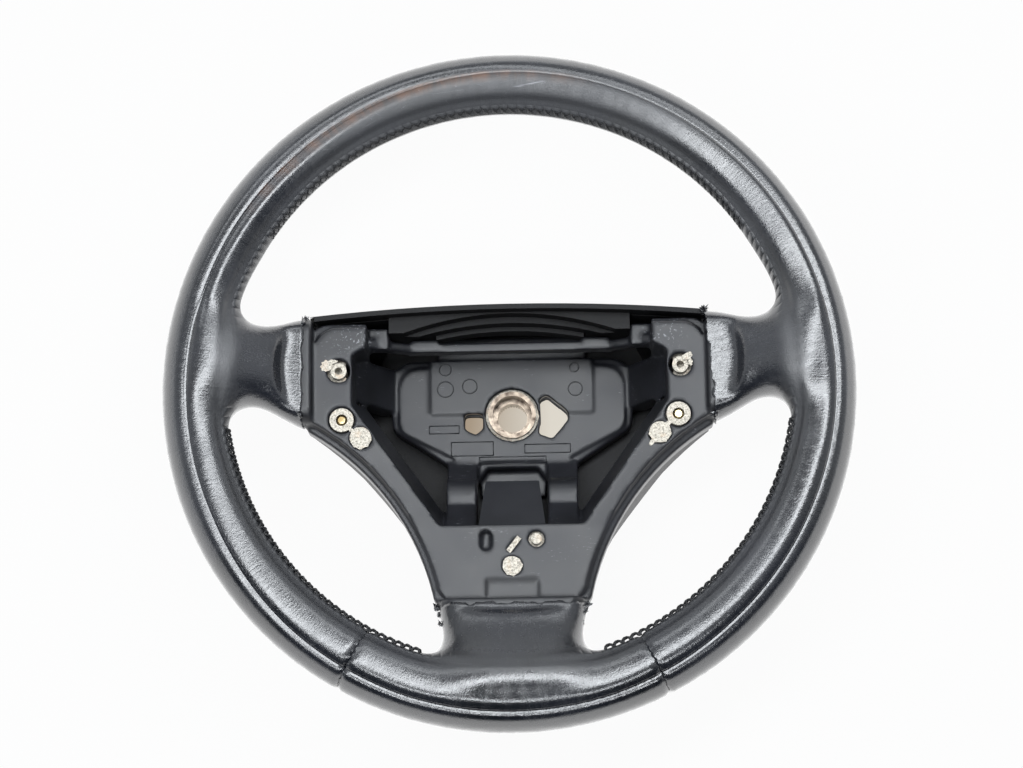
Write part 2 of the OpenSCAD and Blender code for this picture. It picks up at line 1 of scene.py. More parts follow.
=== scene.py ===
"""Looks for a leather-covered car steering wheel without its airbag module.

Metres throughout, in the CAD model's frame: +Z to the driver, +Y to the top of the wheel.
"""
import math
import random

import bmesh
import bpy
import numpy as np
from mathutils import Matrix, Vector


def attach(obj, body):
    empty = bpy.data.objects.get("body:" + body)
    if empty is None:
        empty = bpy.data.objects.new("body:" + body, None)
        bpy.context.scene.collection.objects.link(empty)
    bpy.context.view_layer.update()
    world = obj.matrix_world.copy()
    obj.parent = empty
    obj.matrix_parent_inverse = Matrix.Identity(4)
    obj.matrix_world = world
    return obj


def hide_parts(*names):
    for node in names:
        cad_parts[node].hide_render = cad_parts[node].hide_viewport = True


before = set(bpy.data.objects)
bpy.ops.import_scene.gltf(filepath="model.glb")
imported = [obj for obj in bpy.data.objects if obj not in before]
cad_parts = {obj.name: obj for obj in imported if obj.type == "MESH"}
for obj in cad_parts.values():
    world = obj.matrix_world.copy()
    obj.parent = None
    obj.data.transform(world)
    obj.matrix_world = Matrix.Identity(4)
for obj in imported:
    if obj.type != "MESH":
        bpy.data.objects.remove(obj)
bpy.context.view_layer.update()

MM = 0.001
TAU = 2 * math.pi
rng = random.Random(7)

# The rim and spokes, as the part's source has them.
RIM_Z = 92 * MM
RIM_MID_R = 174.5 * MM
RIM_SECTION_R = 18 * MM
RIM_INNER_R = 156.5 * MM
RIM_OUTER_R = 192.5 * MM
LEATHER_T = 1.4 * MM
SEAM_LEFT = math.radians(240)
SEAM_RIGHT = math.radians(296.25)
SIDE_EDGE_X = 113.5 * MM
SIDE_MID_Y = 17 * MM
LOW_EDGE_Y = 119 * MM

# The rim's thickness in millimetres: this at the sides, less at the top and more below by the swell.
RIM_THICK = 35.6
RIM_SWELL = 2.2
STITCH_PITCH = 4.9 * MM
COOL_WHITE = "#f7fbff"


# Nodes and meshes

def linear(code):
    """An sRGB hex colour as linear RGBA."""
    parts = [int(code[i:i + 2], 16) / 255 for i in (1, 3, 5)]
    return [v / 12.92 if v <= 0.04045 else ((v + 0.055) / 1.055) ** 2.4 for v in parts] + [1.0]


def add(tree, kind, inputs=(), output=0, stops=(), **settings):
    """Adds a node of that kind with its settings and links, and gives one of its outputs.

    inputs holds constants or sockets to link, either in order or by name or number. stops are a
    colour ramp's (position, grey or hex colour) pairs.
    """
    node = tree.nodes.new("ShaderNode" + kind)
    for name, value in settings.items():
        setattr(node, name, value)
    pairs = inputs.items() if isinstance(inputs, dict) else enumerate(inputs)
    for name, value in pairs:
        if isinstance(value, bpy.types.NodeSocket):
            tree.links.new(value, node.inputs[name])
        else:
            node.inputs[name].default_value = value
    for _ in stops[2:]:
        node.color_ramp.elements.new(0.5)
    for i, (position, tone) in enumerate(stops):
        mark = node.color_ramp.elements[i]
        mark.position = position
        mark.color = linear(tone) if isinstance(tone, str) else (tone, tone, tone, 1)
    return node.outputs[output]


def new_material(name):
    """(material, its node tree, its object coordinates)."""
    material = bpy.data.materials.new(name)
    material.use_nodes = True
    tree = material.node_tree
    return material, tree, add(tree, "TexCoord", output="Object")


def set_surface(tree, colour, roughness, normal, constants):
    """Links the shader's colour, roughness and normal, and sets its constants by the socket's name."""
    sockets = tree.nodes["Principled BSDF"].inputs
    for name, value in (("Base Color", colour), ("Roughness", roughness), ("Normal", normal)):
        tree.links.new(value, sockets[name])
    for name, value in constants.items():
        sockets[name].default_value = value


def new_object(name, data):
    """An object in the scene."""
    made = bpy.data.objects.new(name, data)
    bpy.context.scene.collection.objects.link(made)
    return made


def to_mesh(bm, name):
    """The bmesh as a mesh. The bmesh is freed."""
    mesh = bpy.data.meshes.new(name)
    bm.to_mesh(mesh)
    bm.free()
    return mesh


def finish_piece(mesh, name, material, node_names=(), smooth=True):
    """Finishes a mesh as a piece of the wheel, which may replace CAD nodes."""
    mesh.materials.clear()
    mesh.materials.append(material)
    if smooth:
        mesh.shade_smooth()
    piece = new_object(name, mesh)
    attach(piece, "root")
    if node_names:
        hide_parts(*node_names)


def baked(mesh, *modifiers):
    """The mesh after those modifiers, each given as (kind, settings)."""
    holder = new_object("holder", mesh)
    for kind, settings in modifiers:
        modifier = holder.modifiers.new(kind.lower(), kind)
        for name, value in settings.items():
            setattr(modifier, name, value)
    graph = bpy.context.evaluated_depsgraph_get()
    result = bpy.data.meshes.new_from_object(holder.evaluated_get(graph))
    bpy.data.objects.remove(holder)
    return result


def points_of(mesh):
    """The mesh's points, one a row."""
    flat = np.empty(len(mesh.vertices) * 3)
    mesh.vertices.foreach_get("co", flat)
    return flat.reshape(-1, 3)


def set_points(mesh, points):
    """Moves the mesh's points to those rows."""
    mesh.vertices.foreach_set("co", points.reshape(-1))
    mesh.update()


def relax(mesh, weight, rounds):
    """Moves each point towards the mean of its neighbours, by its weight."""
    points = points_of(mesh)
    ends = np.empty(len(mesh.edges) * 2, dtype=np.int64)
    mesh.edges.foreach_get("vertices", ends)
    a, b = ends.reshape(-1, 2).T
    count = len(points)
    near = np.bincount(a, minlength=count) + np.bincount(b, minlength=count)
    near = np.maximum(near, 1)
    weight = np.asarray(weight)
    for _ in range(rounds):
        mean = np.empty_like(points)
        for axis in range(3):
            value = points[:, axis]
            total = np.bincount(a, value[b], count) + np.bincount(b, value[a], count)
            mean[:, axis] = total / near
        points += (mean - points) * (0.5 * weight)[:, None]
    set_points(mesh, points)


def ease(low, high, value):
    """0 below low, 1 above high, smooth between."""
    t = np.clip((value - low) / (high - low), 0, 1)
    return t * t * (3 - 2 * t)


# Camera

def place_camera():
    """The photograph's camera: almost over the wheel, a little below it and rolled."""
    azimuth, tilt, roll = math.radians(5.547), math.radians(90 - 13.146), math.radians(-6.573)
    focal_px, image_width_px = 3609.3, 1023
    distance, aim = 2.0, Vector((0.001501, 0.001897, 0.092))
    back = Vector((math.sin(azimuth) * math.cos(tilt), -math.cos(azimuth) * math.cos(tilt), math.sin(tilt)))
    right = Vector((0, 0, 1)).cross(back).normalized()
    up = back.cross(right)
    x_axis = right * math.cos(roll) + up * math.sin(roll)
    y_axis = -right * math.sin(roll) + up * math.cos(roll)
    data = bpy.data.cameras.new("camera")
    data.sensor_width = 36
    data.lens = focal_px * data.sensor_width / image_width_px
    data.clip_end = 60
    camera = new_object("camera", data)
    turn = Matrix((x_axis, y_axis, back)).transposed().to_4x4()
    camera.matrix_world = Matrix.Translation(back * distance + aim) @ turn
    bpy.context.scene.camera = camera


place_camera()
bpy.context.scene.view_settings.view_transform = "Standard"


# Materials

def leather_material():
    """Pigmented cowhide, embossed and gripped smooth for years: a satin black-blue skin with a fine
    pebbled grain, brownish where hands have worn it, and pale hairline scratches on the front."""
    material, tree, place = new_material("pigmented_cowhide")

    # Where a point is on the rim: its bearing, its angle round the section, and the hide laid flat.
    x, y, z = add(tree, "SeparateXYZ", (place,)).node.outputs
    level = add(tree, "VectorMath", (place, (1, 1, 0)), operation="MULTIPLY")
    radius = add(tree, "VectorMath", (level,), "Value", operation="LENGTH")
    out = add(tree, "Math", (radius, RIM_MID_R), operation="SUBTRACT")
    up = add(tree, "Math", (z, RIM_Z), operation="SUBTRACT")
    section = add(tree, "Math", (up, out), operation="ARCTAN2")
    half_section = add(tree, "Math", (section, 0.5), operation="MULTIPLY")
    quarter_section = add(tree, "Math", (section, 0.25), operation="MULTIPLY")
    bearing = add(tree, "Math", (y, x), operation="ARCTAN2")
    along = add(tree, "Math", (bearing, RIM_MID_R), operation="MULTIPLY")
    over = add(tree, "Math", (section, 0.2 * RIM_SECTION_R), operation="MULTIPLY")
    unrolled = add(tree, "CombineXYZ", (along, over))
    from_crease = add(tree, "Attribute", output="Fac", attribute_name="crease_off")
    near_crease = add(tree, "Math", (from_crease,), operation="ABSOLUTE")
    nearness = []
    for degrees in (75, 110, 92):
        away = add(tree, "Math", (bearing, math.radians(degrees)), operation="SUBTRACT")
        nearness.append(add(tree, "Math", (away,), operation="COSINE"))
    near_upper, near_worn, near_top = nearness
    upper = add(tree, "ValToRGB", (near_upper,), stops=((0.2, 0.25), (0.8, 1.0)))

    # The grain: pebbles, fine pores, wrinkles where the hide is stretched to the spokes, and fine
    # wrinkles across the rim.
    pebble = add(tree, "TexVoronoi", {"Vector": place, "Scale": 1 / (0.9 * MM)}, "Distance", feature="F1")
    pores = add(tree, "TexNoise", {"Vector": place, "Scale": 1 / (0.55 * MM), "Detail": 2.0})
    flattened = add(tree, "Mapping", {"Vector": place, "Scale": (1.0, 1.0, 0.6)})
    wrinkle = add(tree, "TexNoise", {"Vector": flattened, "Scale": 1 / (3.2 * MM), "Detail": 4.0,
                                     "Roughness": 0.6, "Distortion": 1.4})
    spoke_near = add(tree, "Math", (radius, RIM_MID_R), operation="DIVIDE")
    spoke_near = add(tree, "ValToRGB", (spoke_near,), stops=((0.78, 1.0), (0.97, 0.5)))
    wrinkle = add(tree, "Math", (wrinkle, spoke_near), operation="MULTIPLY")
    cross = add(tree, "TexNoise", {"Vector": unrolled, "Scale": 1 / (1.6 * MM), "Detail": 3.0,
                                   "Roughness": 0.6, "Distortion": 0.6})
    relief = 0.0
    for pattern, share in ((pebble, 0.4), (pores, 0.3), (wrinkle, 1.8), (cross, 0.9)):
        relief = add(tree, "Math", (pattern, share, relief), operation="MULTIPLY_ADD")

    # Hairline scratches on the front: the borders of long cells, drawn in two directions.
    scratches = 0.0
    for turn, stretch, width in ((0.5, 8.0, 0.0045), (1.9, 6.0, 0.004)):
        lay = add(tree, "Mapping", {"Vector": place, "Rotation": (0.0, 0.0, turn),
                                    "Scale": (1.0, stretch, 1.0)})
        border = add(tree, "TexVoronoi", {"Vector": lay, "Scale": 1 / (26 * MM)}, "Distance",
                     feature="DISTANCE_TO_EDGE")
        line = add(tree, "ValToRGB", (border,), stops=((0.0, 1.0), (width, 0.0)))
        patches = add(tree, "TexNoise", {"Vector": lay, "Scale": 1 / (22 * MM), "Detail": 1.0})
        patches = add(tree, "ValToRGB", (patches,), stops=((0.54, 0.0), (0.60, 1.0)))
        line = add(tree, "Math", (line, patches), operation="MULTIPLY")
        scratches = add(tree, "Math", (scratches, line), operation="MAXIMUM")
    front = add(tree, "Math", (up, RIM_SECTION_R), operation="DIVIDE")
    front = add(tree, "ValToRGB", (front,), stops=((0.55, 0.0), (0.85, 1.0)))

    # Brownish wear along the crease from ten to twelve o'clock, most of it on the inner side.
    worn = add(tree, "ValToRGB", (near_worn,), stops=((0.80, 0.0), (0.94, 1.0)))
    crease_band = add(tree, "Math", (from_crease, 0.5, 0.5), operation="MULTIPLY_ADD")
    crease_band = add(tree, "ValToRGB", (crease_band,),
                      stops=((0.44, 0.0), (0.485, 1.0), (0.56, 0.8), (0.68, 0.0)))
    blotches = add(tree, "TexNoise", {"Vector": unrolled, "Scale": 1 / (9 * MM), "Detail": 4.0,
                                      "Roughness": 0.65})
    blotches = add(tree, "ValToRGB", (blotches,), stops=((0.40, 0.15), (0.60, 1.0)))

    # Painted shade: a dark line painted along the crease itself, broken along its length.
    painted_crease_shade = add(tree, "ValToRGB", (near_crease,), stops=((0.0, 1.0), (0.045, 0.0)))
    breaks = add(tree, "TexNoise", {"Vector": unrolled, "Scale": 1 / (14 * MM), "Detail": 2.0})
    breaks = add(tree, "ValToRGB", (breaks,), stops=((0.35, 0.3), (0.6, 1.0)))

    broad = add(tree, "TexNoise", {"Vector": place, "Scale": 1 / (38 * MM), "Detail": 3.0})
    hide = add(tree, "ValToRGB", (broad,), stops=((0.35, "#101216"), (0.7, "#17191f")))
    # The second of these marks is painted shade along the crease; the others are wear and scratches.
    marks = (((worn, crease_band, blotches), 0.8, "#5a3d2a"), ((painted_crease_shade, breaks, upper), 0.5, "#0a090a"),
             ((scratches, front, upper), 0.35, "#a4a6ac"))
    for masks, strength, tone in marks:
        for mask in masks:
            strength = add(tree, "Math", (strength, mask), operation="MULTIPLY")
        hide = add(tree, "Mix", {0: strength, 6: hide, 7: linear(tone)}, 2, data_type="RGBA")

    # Gripping has polished the hide in patches. The sewn inner side is never gripped, so it stays
    # dull, and the top has lost its finish.
    patchy = add(tree, "TexNoise", {"Vector": unrolled, "Scale": 1 / (5 * MM), "Detail": 4.0,
                                    "Roughness": 0.65})
    patchy = add(tree, "ValToRGB", (patchy,), stops=((0.38, 0.0), (0.62, 1.0)))
    inner = add(tree, "ValToRGB", (quarter_section,), stops=((0.50, 0.0), (0.60, 0.25)))
    off_spoke = add(tree, "ValToRGB", (radius,), stops=((0.150, 0.0), (0.154, 1.0)))
    inner = add(tree, "Math", (inner, off_spoke), operation="MULTIPLY")
    topmost = add(tree, "ValToRGB", (near_top,), stops=((0.72, 0.0), (0.93, 1.0)))
    inward = add(tree, "ValToRGB", (half_section,), stops=((0.60, 0.0), (0.72, 1.0)))
    topmost = add(tree, "Math", (topmost, inward), operation="MULTIPLY")
    roughness = 0.10
    for pattern, share in ((broad, 0.12), (pebble, 0.08), (patchy, 0.08), (inner, 1.0), (topmost, 0.28)):
        roughness = add(tree, "Math", (pattern, share, roughness), operation="MULTIPLY_ADD")

    # Each stitch draws the hide in, so it stands up in puckers between two stitches.
    arc = add(tree, "Math", (bearing, math.pi * RIM_INNER_R / STITCH_PITCH), operation="MULTIPLY")
    pucker = add(tree, "Math", (section, 2.6, arc), operation="MULTIPLY_ADD")
    pucker = add(tree, "Math", (pucker,), operation="SINE")
    pucker = add(tree, "Math", (pucker,), operation="ABSOLUTE")
    pucker = add(tree, "Math", (pucker, 0.6), operation="POWER")
    beside = add(tree, "ValToRGB", (quarter_section,), stops=((0.645, 0.0), (0.68, 1.0), (0.76, 1.0)))
    on_rim = add(tree, "ValToRGB", (radius,), stops=((0.1555, 0.0), (0.157, 1.0)))
    for mask in (beside, on_rim):
        pucker = add(tree, "Math", (pucker, mask), operation="MULTIPLY")
    fold = add(tree, "ValToRGB", (near_crease,), stops=((0.0, 0.0), (0.06, 0.8), (0.14, 1.0)))
    bump = add(tree, "Bump", {"Strength": 0.36, "Distance": 0.24 * MM, "Height": relief})
    for height, strength, depth in ((pucker, 1.0, 1.1 * MM), (fold, 0.7, 0.7 * MM)):
        bump = add(tree, "Bump", {"Strength": strength, "Distance": depth, "Height": height, "Normal": bump})
    set_surface(tree, hide, roughness, bump, {"IOR": 1.5, "Specular IOR Level": 0.95})
    return material


def foam_material():
    """Integral-skin polyurethane foam, moulded black: a smooth satin skin with a faint mould grain,
    and chalky scuffs, most of them at the ears where the airbag module rubs."""
    material, tree, place = new_material("moulded_polyurethane_foam")
    broad = add(tree, "TexNoise", {"Vector": place, "Scale": 1 / (26 * MM), "Detail": 4.0, "Roughness": 0.6})
    grain = add(tree, "TexNoise", {"Vector": place, "Scale": 1 / (0.7 * MM), "Detail": 2.0})
    lay = add(tree, "Mapping", {"Vector": place, "Rotation": (0.0, 0.0, 0.6), "Scale": (1.0, 5.0, 1.0)})
    streak = add(tree, "TexNoise", {"Vector": lay, "Scale": 1 / (4 * MM), "Detail": 5.0, "Roughness": 0.7})
    streak = add(tree, "ValToRGB", (streak,), stops=((0.62, 0.0), (0.70, 1.0)))
    patches = add(tree, "TexNoise", {"Vector": place, "Scale": 1 / (20 * MM), "Detail": 2.0})
    patches = add(tree, "ValToRGB", (patches,), stops=((0.56, 0.0), (0.66, 1.0)))
    streak = add(tree, "Math", (streak, patches), operation="MULTIPLY")
    x, y, _ = add(tree, "SeparateXYZ", (place,)).node.outputs
    across = add(tree, "Math", (x,), operation="ABSOLUTE")
    across = add(tree, "ValToRGB", (across,), stops=((0.070, 0.0), (0.080, 1.0), (0.092, 1.0), (0.100, 0.0)))
    above = add(tree, "ValToRGB", (y,), stops=((0.022, 0.0), (0.032, 1.0)))
    flecks = add(tree, "TexNoise", {"Vector": place, "Scale": 1 / (1.6 * MM), "Detail": 3.0,
                                    "Roughness": 0.7})
    flecks = add(tree, "ValToRGB", (flecks,), stops=((0.60, 0.0), (0.64, 1.0)))
    for mask in (across, above):
        flecks = add(tree, "Math", (flecks, mask), operation="MULTIPLY")
    scuffs = add(tree, "Math", (streak, flecks), operation="MAXIMUM")
    scuffs = add(tree, "Math", (scuffs, 0.35), operation="MULTIPLY")
    colour = add(tree, "ValToRGB", (broad,), stops=((0.35, "#0f1013"), (0.68, "#17181d")))
    colour = add(tree, "Mix", {0: scuffs, 6: colour, 7: linear("#a9abb0")}, 2, data_type="RGBA")
    roughness = add(tree, "Math", (broad, 0.20, 0.34), operation="MULTIPLY_ADD")
    height = add(tree, "Math", (broad, 2.0), operation="MULTIPLY")
    height = add(tree, "Math", (grain, 0.5, height), operation="MULTIPLY_ADD")
    bump = add(tree, "Bump", {"Strength": 0.20, "Distance": 0.25 * MM, "Height": height})
    set_surface(tree, colour, roughness, bump, {"IOR": 1.5, "Specular IOR Level": 0.48})
    return material


def cast_material():
    """Die-cast magnesium left bare: pale, granular and slightly brown, with dark pits."""
    material, tree, place = new_material("die_cast_magnesium")
    grit = add(tree, "TexNoise", {"Vector": place, "Scale": 1 / (1.1 * MM), "Detail": 4.0, "Roughness": 0.7})
    stain = add(tree, "TexNoise", {"Vector": place, "Scale": 1 / (5 * MM), "Detail": 3.0})
    stain = add(tree, "ValToRGB", (stain,), stops=((0.55, 0.0), (0.75, 0.6)))
    colour = add(tree, "ValToRGB", (grit,), stops=((0.36, "#66625a"), (0.60, "#b8b2a6")))
    colour = add(tree, "Mix", {0: stain, 6: colour, 7: linear("#a8927a")}, 2, data_type="RGBA")
    roughness = add(tree, "Math", (grit, 0.3, 0.35), operation="MULTIPLY_ADD")
    bump = add(tree, "Bump", {"Strength": 0.9, "Distance": 0.35 * MM, "Height": grit})
    set_surface(tree, colour, roughness, bump, {"Metallic": 0.4})
    return material


def steel_material(name, dark, light, base_roughness):
    """Machined steel: fine turned rings that blur the reflections, and a faint tarnish."""
    material, tree, place = new_material(name)
    stain = add(tree, "TexNoise", {"Vector": place, "Scale": 1 / (4 * MM), "Detail": 3.0})
    colour = add(tree, "ValToRGB", (stain,), stops=((0.38, light), (0.66, dark)))
    stacked = add(tree, "Mapping", {"Vector": place, "Scale": (1.0, 1.0, 12.0)})
    rings = add(tree, "TexNoise", {"Vector": stacked, "Scale": 1 / (1.2 * MM), "Detail": 2.0})
    roughness = add(tree, "Math", (rings, 0.18, base_roughness), operation="MULTIPLY_ADD")
    bump = add(tree, "Bump", {"Strength": 0.25, "Distance": 0.1 * MM, "Height": rings})
    set_surface(tree, colour, roughness, bump, {"Metallic": 1.0})
    return material


def plastic_material(name, dark, light, base_roughness, grain_mm, specular=0.5):
    """Moulded plastic with an eroded mould grain, which scatters the highlights evenly."""
    material, tree, place = new_material(name)
    grain = add(tree, "TexNoise", {"Vector": place, "Scale": 1 / (grain_mm * MM), "Detail": 3.0})
    broad = add(tree, "TexNoise", {"Vector": place, "Scale": 1 / (30 * MM), "Detail": 3.0})
    colour = add(tree, "ValToRGB", (broad,), stops=((0.35, dark), (0.7, light)))
    roughness = add(tree, "Math", (grain, 0.14, base_roughness), operation="MULTIPLY_ADD")
    bump = add(tree, "Bump", {"Strength": 0.35, "Distance": 0.2 * MM, "Height": grain})
    set_surface(tree, colour, roughness, bump, {"Specular IOR Level": specular})
    return material


def thread_material():
    """Bonded nylon sewing thread, black: twisted plies that catch small bright points."""
    material, tree, place = new_material("bonded_nylon_thread")
    # A diagonal wave repeats every 0.36 of its unit of 2.2 mm, so the plies lie 0.8 mm apart.
    plies = add(tree, "TexWave", {"Vector": place, "Scale": 1 / (2.2 * MM), "Distortion": 1.5}, 1,
                wave_type="BANDS", bands_direction="DIAGONAL")
    colour = add(tree, "Mix", {0: plies, 6: linear("#060607"), 7: linear("#141518")}, 2, data_type="RGBA")
    roughness = add(tree, "Math", (plies, 0.15, 0.6), operation="MULTIPLY_ADD")
    bump = add(tree, "Bump", {"Strength": 0.5, "Distance": 0.2 * MM, "Height": plies})
    set_surface(tree, colour, roughness, bump, {})
    return material


LEATHER = leather_material()
FOAM = foam_material()
CAST = cast_material()
INSERT_STEEL = steel_material("turned_steel", "#2f2722", "#786e63", 0.22)
BOLT_STEEL = steel_material("zinc_plated_steel", "#7a6a4a", "#b5a98a", 0.28)
COVER_PLASTIC = plastic_material("grained_abs", "#070708", "#0b0b0d", 0.5, 0.8, specular=0.22)
FLAP_PLASTIC = plastic_material("satin_polypropylene", "#141519", "#1c1d21", 0.36, 0.9)
RETAINER_PLASTIC = plastic_material("moulded_nylon", "#3d3f42", "#4a4c50", 0.38, 1.2)
THREAD = thread_material()


# Leather

def spun_ring(bm, middle, radius, section_r, steps, sides):
    """A closed ring of round section that lies flat about its middle."""
    x, y, z = middle
    ring = bmesh.ops.create_circle(bm, segments=sides, radius=section_r)["verts"]
    bmesh.ops.rotate(bm, verts=ring, matrix=Matrix.Rotation(math.pi / 2, 3, "X"))
    bmesh.ops.translate(bm, verts=ring, vec=(x + radius, y, z))
    edges = list({edge for vert in ring for edge in vert.link_edges})
    bmesh.ops.spin(bm, geom=ring + edges, cent=(x, y, 0), axis=(0, 0, 1), angle=TAU, steps=steps,
                   use_merge=True)


def spoke_form(bm, turn, edge_x, root_w, neck_w, rear_root, lean, mid_y):
    """A spoke along +X from inside its raw end out into the rim, then turned or mirrored to its place.

    root_w and neck_w are its widths at the raw end and at its narrowest. rear_root is how far it
    reaches behind the rim's plane at the raw end, and lean is the sweep of its middle line.
    """
    fillet, spoke_end, beyond_cut = 14 * MM, RIM_MID_R - 4 * MM, 8 * MM
    front_root, front_end = -4 * MM, RIM_SECTION_R * 1.2
    # The rim curves away from a wide neck, so that one starts to flare farther in.
    rim_sag = neck_w ** 2 / (8 * 175 * MM)
    flare_x = RIM_INNER_R - fillet - rim_sag
    shares = (0, 0.1, 0.25, 0.39, 0.5, 0.59, 0.66, 0.71, 0.79, 1)
    stations = [edge_x - beyond_cut] + [edge_x + (spoke_end - edge_x) * share for share in shares]
    squareness = 2 / 2.6
    rings = []
    for x in stations:
        run = min(fillet, max(0, x - flare_x))
        flare = fillet - math.sqrt(fillet * fillet - run * run)
        in_t = float(ease(edge_x, flare_x, x))
        out_t = float(ease(edge_x, spoke_end, x))
        half = (root_w + (neck_w - root_w) * in_t) / 2 + flare
        middle = lean * (out_t - 0.7)
        front = front_root + (front_end - front_root) * out_t
        rear = -rear_root + (rear_root - RIM_SECTION_R) * out_t
        ring = bmesh.ops.create_circle(bm, segments=40, radius=1)["verts"]
        for vert in ring:
            across = math.copysign(abs(vert.co.x) ** squareness, vert.co.x)
            high = math.copysign(abs(vert.co.y) ** squareness, vert.co.y)
            up = (front + rear) / 2 + (front - rear) / 2 * high
            vert.co = (x, mid_y + middle + half * across, RIM_Z + up)
        rings.append(ring)
    loops = [list({edge for vert in ring for edge in vert.link_edges}) for ring in rings]
    for one, other in zip(loops, loops[1:]):
        bmesh.ops.bridge_loops(bm, edges=one + other)
    bmesh.ops.edgeloop_fill(bm, edges=loops[0])
    bmesh.ops.edgeloop_fill(bm, edges=loops[-1])
    bmesh.ops.transform(bm, matrix=turn, verts=[vert for ring in rings for vert in ring])


def leather_form():
    """The whole leather's outer face as one even skin, before it is cut at its joints and ends."""
    bm = bmesh.new()
    spun_ring(bm, (0, 0, RIM_Z), RIM_MID_R, RIM_SECTION_R, steps=192, sides=48)
    side = {"edge_x": SIDE_EDGE_X, "root_w": 65 * MM, "neck_w": 46 * MM, "rear_root": 40 * MM,
            "lean": 5 * MM, "mid_y": 18.5 * MM}
    low = {"edge_x": LOW_EDGE_Y, "root_w": 85 * MM, "neck_w": 78 * MM, "rear_root": 38 * MM,
           "lean": 0, "mid_y": 0}
    spoke_form(bm, Matrix.Identity(4), **side)
    spoke_form(bm, Matrix.Scale(-1, 4, (1, 0, 0)), **side)
    spoke_form(bm, Matrix.Rotation(-math.pi / 2, 4, "Z"), **low)
    bmesh.ops.recalc_face_normals(bm, faces=bm.faces)
    voxel = ("REMESH", {"mode": "VOXEL", "voxel_size": 1.9 * MM})
    mesh = baked(to_mesh(bm, "leather_form"), voxel)

    # The corners where the spokes run into the rim are drawn smooth.
    points = points_of(mesh)
    x, y, z = points.T
    radius = np.hypot(x, y)
    side_near = ease(62 * MM, 40 * MM, abs(y - SIDE_MID_Y))
    low_near = ease(84 * MM, 58 * MM, abs(x)) * (y < 0)
    beyond_edge = ease(114 * MM, 122 * MM, radius) * ease(184 * MM, 168 * MM, radius)
    relax(mesh, np.maximum(side_near, low_near) * beyond_edge, 45)

    # The hide steps down to the flap that the airbag's cover hides, along an arc across each spoke.
    points = points_of(mesh)
    x, y, z = points.T
    flap_z = 84 * MM
    side_arc_x, side_arc_y, low_arc_y = 74.6 * MM, 16 * MM, 69.5 * MM
    side_in = ease(56.5 * MM, 51.5 * MM, np.hypot(abs(x) - side_arc_x, y - side_arc_y))
    low_in = ease(196 * MM, 191.5 * MM, np.hypot(x, y - low_arc_y))
    low_in = low_in * (abs(x) < 62 * MM) * (y < -90 * MM)
    step = np.maximum(side_in, low_in) * (z > flap_z)
    points[:, 2] = z - (z - flap_z) * step
    set_points(mesh, points)
    mesh = baked(mesh, voxel)
    relax(mesh, np.ones(len(mesh.vertices)), 3)
    return mesh


# The crease wanders along the rim: bearings, and its angle round the section at each, in degrees.
CREASE_BEARINGS = (0, 36, 48, 60, 90, 108, 132, 156, 180, 204, 228, 252, 288, 312, 336, 360)
CREASE_ANGLES = (70, 72, 74, 76, 78, 82, 88, 85, 80, 78, 68, 62, 62, 68, 70, 70)


def crease_offset(bearing, section):
    """Angle from the crease, in radians round the rim's section."""
    return section - np.interp(bearing % TAU, np.radians(CREASE_BEARINGS), np.radians(CREASE_ANGLES))


def shape_rim(mesh):
    """Grip and wear in the rim: a fuller section below, and the crease along its front."""
    points = points_of(mesh)
    x, y, z = points.T
    bearing = np.arctan2(y, x)
    radius = np.hypot(x, y)
    out, up = radius - RIM_MID_R, z - RIM_Z
    section = np.arctan2(up, out)
    reach = np.hypot(out, up)
    on_rim = ease(150 * MM, 162 * MM, radius)
    # The section is 33.4 mm thick at the top and 37.8 mm at the bottom, with its outer edge kept.
    plain_thick = 2 * RIM_SECTION_R / MM
    growth = (RIM_THICK - plain_thick - RIM_SWELL * np.sin(bearing)) / plain_thick
    wanted_out = RIM_SECTION_R + (out - RIM_SECTION_R) * (1 + growth)
    wanted_up = up * (1 + growth)
    # The crease is a groove between two low shoulders, faint at the top and broad at ten o'clock.
    # Before the seam the hide dips once more. Depths are in millimetres, places and widths in radians.
    off = crease_offset(bearing, section)
    faint = 1 - 0.6 * np.exp(-((bearing - 1.3) / 0.4) ** 2)
    broad = np.exp(-((bearing - 2.25) / 0.5) ** 2)
    groove = (0.8 + 0.4 * broad) * np.exp(-((off - 0.12 * broad) / (0.10 + 0.07 * broad)) ** 2)
    shoulders = 0.35 * np.exp(-((np.abs(off) - 0.30) / 0.13) ** 2)
    seam_dip = 0.9 * np.exp(-((section - 2.44) / 0.15) ** 2)
    push = ((shoulders - groove) * faint - seam_dip) * MM * on_rim
    scale = 1 + push / np.maximum(reach, 1 * MM)
    wanted_out = wanted_out + out * (scale - 1)
    wanted_up = wanted_up + up * (scale - 1)
    new_radius = RIM_MID_R + out + (wanted_out - out) * on_rim
    points[:, 0] = x * new_radius / radius
    points[:, 1] = y * new_radius / radius
    points[:, 2] = RIM_Z + up + (wanted_up - up) * on_rim
    # A sewn joint draws the hide down into a narrow groove.
    for joint in (SEAM_LEFT, SEAM_RIGHT):
        x, y, z = points.T
        radius = np.hypot(x, y)
        away = np.abs((np.arctan2(y, x) - joint + math.pi) % TAU - math.pi) * radius
        dip = 1.3 * MM * np.exp(-(away / (1.5 * MM)) ** 2) * ease(150 * MM, 156 * MM, radius)
        out, up = radius - RIM_MID_R, z - RIM_Z
        reach = np.maximum(np.hypot(out, up), 1 * MM)
        new_radius = RIM_MID_R + out * (1 - dip / reach)
        points[:, 0] = x * new_radius / radius
        points[:, 1] = y * new_radius / radius
        points[:, 2] = RIM_Z + up * (1 - dip / reach)
    set_points(mesh, points)


# Each raw end of the hide: two points of its straight cut in millimetres, in the plane of the rim.
RAW_ENDS = (((-114.8, 45.3), (-116.6, -19)), ((109.5, 48), (114.5, -14.6)), ((-60, -119), (60, -119)))
INSIDE_RIM_R = 140 * MM


